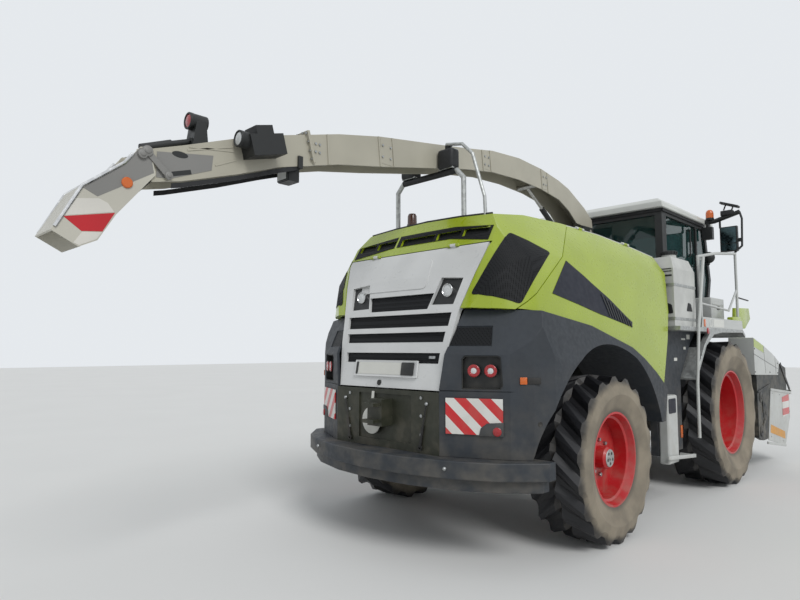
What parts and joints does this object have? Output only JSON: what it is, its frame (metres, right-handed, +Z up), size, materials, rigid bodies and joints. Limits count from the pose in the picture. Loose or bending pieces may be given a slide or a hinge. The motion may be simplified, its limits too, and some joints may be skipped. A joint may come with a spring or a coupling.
{
  "type": "forage harvester",
  "caption": "Self-propelled forage harvester with a wide pick-up header, a side-entry cab, opening hood panels and a long discharge spout laid back on its cradle.",
  "frame": {"origin": "on the ground, under the middle of the whole machine's box", "axes": "+X to the machine's right, +Y forwards, +Z up"},
  "size_m": [3, 10.38, 3.855],
  "materials": {
    "frame_paint": "satin dark grey paint",
    "engine_grey": "matte grey",
    "steel": "bright steel",
    "tyre": "matte black rubber with dust",
    "wheel_red": "satin red paint",
    "roof_grey": "satin light grey paint",
    "hood_green": "gloss yellow-green paint",
    "door_grey": "gloss white-grey",
    "fender_plastic": "matte charcoal",
    "panel_olive": "dark olive paint",
    "galvanised": "dull silver",
    "cab_black": "black paint",
    "cab_glass": "dark teal tint",
    "seat_fabric": "dark cloth",
    "tank_plastic": "light grey plastic",
    "rail_grey": "light grey paint",
    "spout_beige": "satin beige-grey paint",
    "flap_red": "satin red paint",
    "board_white": "white reflective board",
    "header_grey": "satin light grey paint"
  },
  "bodies": {
    "chassis": {"main_frame": "frame_paint", "engine_block": "engine_grey", "front_axle": "frame_paint", "rear_axle": "frame_paint", "hood_roof": "roof_grey", "hood_rear": "hood_green", "fender_left": "fender_plastic", "fender_right": "fender_plastic", "rear_lamps": "cab_black", "warning_boards": "board_white", "bumper": "fender_plastic", "hitch_panel": "panel_olive", "cradle": "galvanised", "cab_frame": "cab_black", "cab_roof": "roof_grey", "cab_glass": "cab_glass", "cab_seat": "seat_fabric", "tanks": "tank_plastic", "platforms": "galvanised", "handrails": "rail_grey", "side_skirts": "fender_plastic", "step_covers": "galvanised", "mirror_arms": "cab_black", "chopper_housing": "frame_paint"},
    "wheel_front_left": {"tyre_front_left": "tyre", "rim_front_left": "wheel_red"},
    "wheel_front_right": {"tyre_front_right": "tyre", "rim_front_right": "wheel_red"},
    "wheel_rear_left": {"tyre_rear_left": "tyre", "rim_rear_left": "wheel_red"},
    "wheel_rear_right": {"tyre_rear_right": "tyre", "rim_rear_right": "wheel_red"},
    "steering_left": {"knuckle_left": "frame_paint"},
    "steering_right": {"knuckle_right": "frame_paint"},
    "tie_rod_body": {"tie_rod": "steel"},
    "door_left": {"side_door_left": "hood_green"},
    "door_right": {"side_door_right": "hood_green"},
    "door_rear": {"rear_door": "door_grey"},
    "door_cab": {"cab_door": "cab_black", "cab_door_glass": "cab_glass"},
    "turret_body": {"turret": "frame_paint"},
    "spout_body": {"spout": "spout_beige", "spout_extension": "spout_beige", "spout_lamps": "cab_black"},
    "spout_barrel_body": {"spout_barrel": "cab_black"},
    "spout_rod_body": {"spout_rod": "steel"},
    "flap_body": {"end_flap": "flap_red"},
    "header": {"header_frame": "frame_paint", "header_covers": "header_grey", "header_shields": "rail_grey"},
    "reel_body": {"pickup_reel": "steel"},
    "auger_body": {"intake_auger": "steel"},
    "lift_barrels_body": {"lift_barrels": "cab_black"},
    "lift_rods_body": {"lift_rods": "steel"}
  },
  "joints": [
    {"name": "front_left_spin", "type": "hinge", "parent": "chassis", "child": "wheel_front_left", "pos_m": [-1.175, 2.29, 0.9], "axis": [1, 0, 0], "continuous": true},
    {"name": "front_right_spin", "type": "hinge", "parent": "chassis", "child": "wheel_front_right", "pos_m": [1.175, 2.29, 0.9], "axis": [1, 0, 0], "continuous": true},
    {"name": "rear_left_spin", "type": "hinge", "parent": "steering_left", "child": "wheel_rear_left", "pos_m": [-1.22, -1.01, 0.73], "axis": [1, 0, 0], "continuous": true},
    {"name": "rear_right_spin", "type": "hinge", "parent": "steering_right", "child": "wheel_rear_right", "pos_m": [1.22, -1.01, 0.73], "axis": [1, 0, 0], "continuous": true},
    {"name": "steer", "type": "hinge", "parent": "chassis", "child": "steering_left", "pos_m": [-0.88, -1.01, 0.73], "axis": [0, 0, 1], "range_deg": [-40, 40]},
    {"name": "steer_right", "type": "hinge", "parent": "chassis", "child": "steering_right", "pos_m": [0.88, -1.01, 0.73], "axis": [0, 0, 1], "range_deg": [-41, 41]},
    {"name": "tie_rod_slide", "type": "slide", "parent": "chassis", "child": "tie_rod_body", "axis": [1, 0, 0], "range_m": [-0.15, 0.15]},
    {"name": "left_side_door", "type": "hinge", "parent": "chassis", "child": "door_left", "pos_m": [-0.94, -1.01, 2.913], "axis": [-0.1397, 0.9861, -0.0904], "range_deg": [0, 70]},
    {"name": "right_side_door", "type": "hinge", "parent": "chassis", "child": "door_right", "pos_m": [0.94, -1.01, 2.913], "axis": [-0.1397, -0.9861, 0.0904], "range_deg": [0, 70]},
    {"name": "rear_hood_door", "type": "hinge", "parent": "chassis", "child": "door_rear", "pos_m": [0, -2.092, 2.608], "axis": [-1, 0, 0], "range_deg": [0, 65]},
    {"name": "cab_door_hinge", "type": "hinge", "parent": "chassis", "child": "door_cab", "pos_m": [-0.954, 1.633, 2.75], "axis": [0, 0, 1], "range_deg": [0, 80]},
    {"name": "spout_swivel", "type": "hinge", "parent": "chassis", "child": "turret_body", "pos_m": [0, 0.97, 3.05], "axis": [0, 0, 1], "range_deg": [-105, 105]},
    {"name": "spout_lift", "type": "hinge", "parent": "turret_body", "child": "spout_body", "pos_m": [0, 1.12, 3.23], "axis": [-1, 0, 0], "range_deg": [0, 35]},
    {"name": "spout_barrel_pivot", "type": "hinge", "parent": "turret_body", "child": "spout_barrel_body", "pos_m": [0, 0.62, 3.1403], "axis": [1, 0, 0], "range_deg": [-43.4, 0]},
    {"name": "spout_rod_slide", "type": "slide", "parent": "spout_barrel_body", "child": "spout_rod_body", "axis": [0, -0.8357, 0.5492], "range_m": [0, 0.2867]},
    {"name": "end_flap_hinge", "type": "hinge", "parent": "spout_body", "child": "flap_body", "pos_m": [0, -4.7, 2.905], "axis": [1, 0, 0], "range_deg": [-20, 45]},
    {"name": "header_lift", "type": "hinge", "parent": "chassis", "child": "header", "pos_m": [0, 2.68, 1], "axis": [1, 0, 0], "range_deg": [-6, 5]},
    {"name": "reel_spin", "type": "hinge", "parent": "header", "child": "reel_body", "pos_m": [0, 4.24, 0.52], "axis": [1, 0, 0], "continuous": true},
    {"name": "auger_spin", "type": "hinge", "parent": "header", "child": "auger_body", "pos_m": [0, 3.63, 0.8], "axis": [1, 0, 0], "continuous": true},
    {"name": "lift_barrels_pivot", "type": "hinge", "parent": "chassis", "child": "lift_barrels_body", "pos_m": [0, 2.51, 0.64], "axis": [1, 0, 0], "range_deg": [-4.78, 4.15]},
    {"name": "lift_rods_slide", "type": "slide", "parent": "lift_barrels_body", "child": "lift_rods_body", "axis": [0, 0.9794, 0.2021], "range_m": [-0.0434, 0.0379]}
  ],
  "couplings": [
    {"joint": "steer_right", "follows": "steer", "ratio": 1},
    {"joint": "tie_rod_slide", "follows": "steer", "m_per_rad": 0.20256},
    {"joint": "spout_barrel_pivot", "follows": "spout_lift", "ratio": -1.2115},
    {"joint": "spout_rod_slide", "follows": "spout_lift", "m_per_rad": 0.45303},
    {"joint": "lift_barrels_pivot", "follows": "header_lift", "ratio": 0.62959},
    {"joint": "lift_rods_slide", "follows": "header_lift", "m_per_rad": 0.31938}
  ]
}
